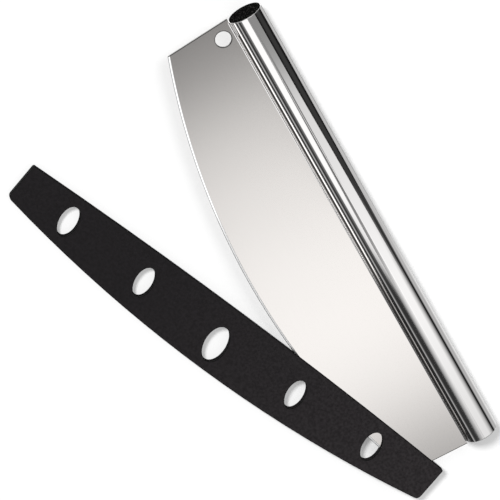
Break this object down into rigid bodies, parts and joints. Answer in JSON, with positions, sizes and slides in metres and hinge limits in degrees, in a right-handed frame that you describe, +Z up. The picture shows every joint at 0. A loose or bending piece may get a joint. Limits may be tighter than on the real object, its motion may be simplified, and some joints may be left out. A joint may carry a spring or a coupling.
{
  "type": "rocking pizza knife",
  "caption": "Rocking knife for pizza: a wide curved steel blade under a tubular steel handle, with a slip-on black edge guard swung part way off.",
  "frame": {"origin": "middle of the hanging hole, half way through the blade", "axes": "+X along the handle from the end with the hanging hole, cutting edge facing -Y, +Z up from the table that the knife and its guard lie on"},
  "size_m": [0.373, 0.2058, 0.024],
  "materials": {
    "blade_steel": "fine satin grind, almost mirror bright",
    "handle_steel": "polished stainless steel",
    "plug_plastic": "smooth moulded black",
    "guard_plastic": "moulded black with a fine pebbled grain"
  },
  "bodies": {
    "knife": {"blade": "blade_steel", "handle_tube": "handle_steel", "hanging_end_plug": "plug_plastic", "far_end_plug": "plug_plastic"},
    "guard": {"blade_guard": "guard_plastic"}
  },
  "joints": [
    {"name": "guard_swing", "type": "hinge", "parent": "knife", "child": "guard", "pos_m": [0.3258, -0.01318, -0.00065], "axis": [0, -0.0494, 0.9988], "range_deg": [-21.3, 0]}
  ]
}
